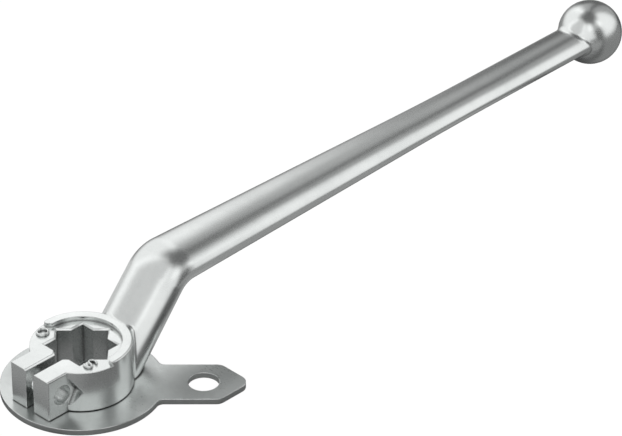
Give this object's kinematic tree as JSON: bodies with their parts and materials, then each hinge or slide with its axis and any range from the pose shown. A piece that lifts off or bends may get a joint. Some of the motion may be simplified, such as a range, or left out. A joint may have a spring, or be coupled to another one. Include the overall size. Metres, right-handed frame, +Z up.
{
  "type": "valve hand lever",
  "caption": "Hand lever for a quarter-turn valve: a clamping hub with an eight-pointed stem socket, a cranked oval arm with a ball end, and a locking plate with a padlock eye.",
  "frame": {"origin": "on the valve stem's axis, at the underside of the locking plate", "axes": "+Z up along the stem's axis, +X from the stem towards the ball end of the arm"},
  "size_m": [0.2368, 0.0549, 0.0354],
  "materials": {
    "cast_steel": "satin, tumbled casting",
    "sheet_steel": "satin, stamped sheet"
  },
  "bodies": {
    "root": {"hand_lever": "cast_steel", "locking_plate": "sheet_steel"}
  },
  "joints": []
}
